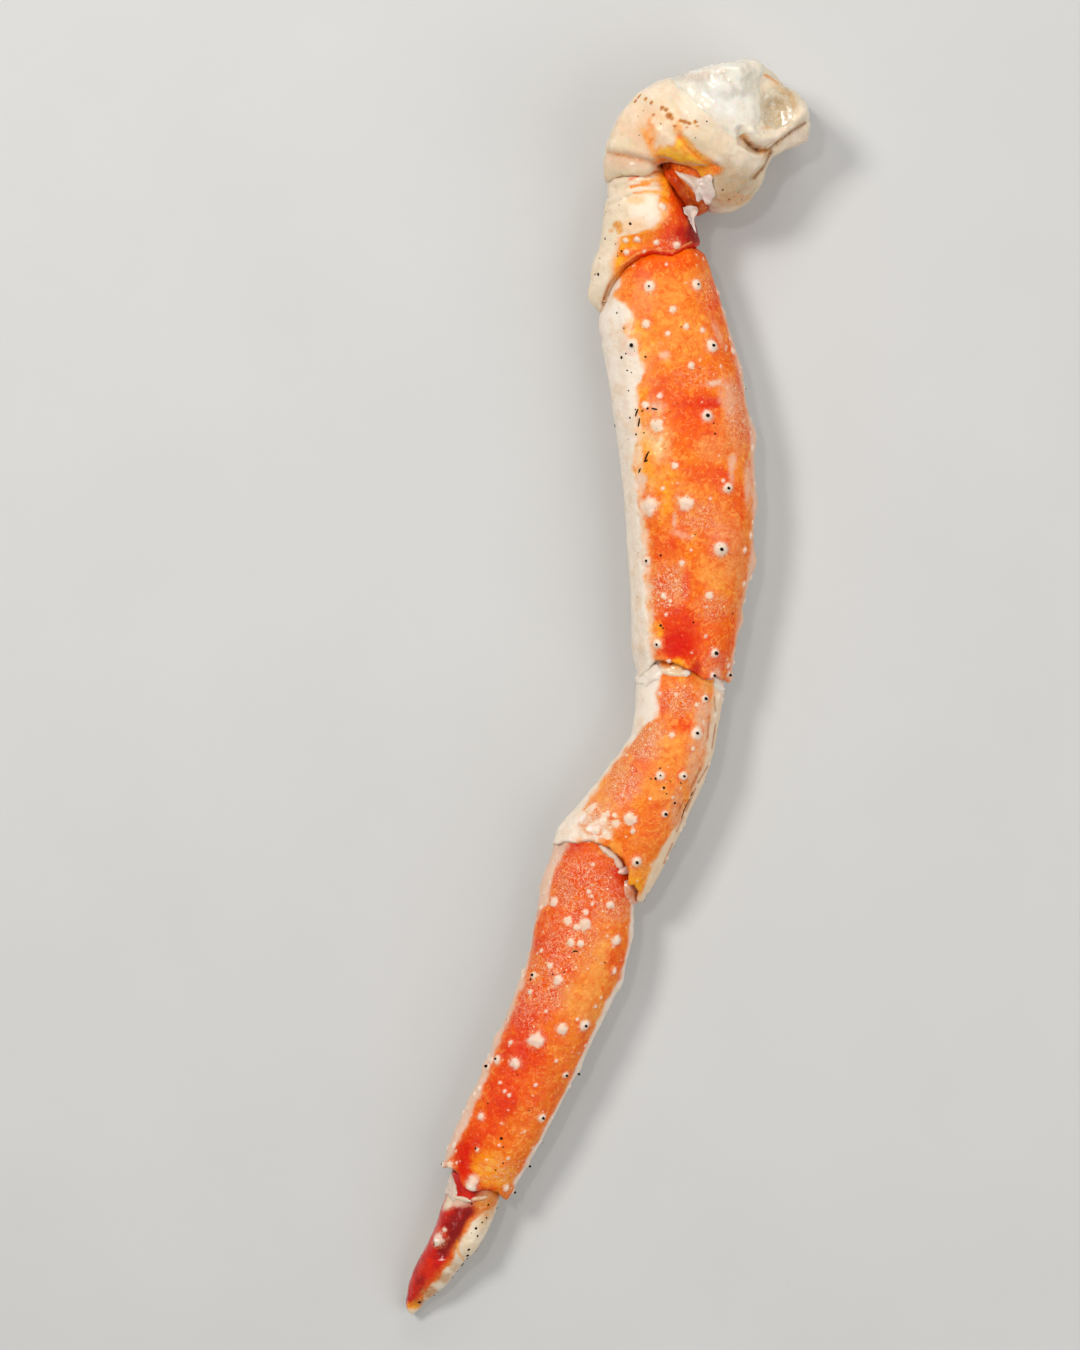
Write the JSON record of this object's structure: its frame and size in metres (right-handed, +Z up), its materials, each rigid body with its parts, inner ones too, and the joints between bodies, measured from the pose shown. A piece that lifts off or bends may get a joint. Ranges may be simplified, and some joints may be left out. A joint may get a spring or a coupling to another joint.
{
  "type": "king crab leg",
  "caption": "Cooked king crab leg with its pale shoulder joint, orange jointed shell with small spines, and a red claw tip, lying on its side.",
  "frame": {"origin": "on the surface it lies on, under the middle of the leg's box", "axes": "+Y towards the shoulder along the leg, the claw tip at -Y, +Z up"},
  "size_m": [0.1354, 0.4178, 0.0445],
  "materials": {
    "shoulder_shell": "wet glossy cream shell",
    "meat": "wet translucent white meat",
    "joint_skin": "thin wet pale skin",
    "upper_shell": "wet cream shell turning orange",
    "leg_shell": "wet mottled orange shell with pale bumps",
    "leg_shell_frosted": "frosted pale orange shell",
    "claw_shell": "glossy dark red claw"
  },
  "bodies": {
    "root": {"shoulder": "shoulder_shell", "shoulder_meat": "meat", "shoulder_skin": "joint_skin", "ischium": "upper_shell", "merus": "leg_shell", "carpus": "leg_shell_frosted", "carpus_skin": "joint_skin", "propodus": "leg_shell", "propodus_skin": "joint_skin", "dactyl": "claw_shell", "dactyl_skin": "joint_skin"}
  },
  "joints": []
}
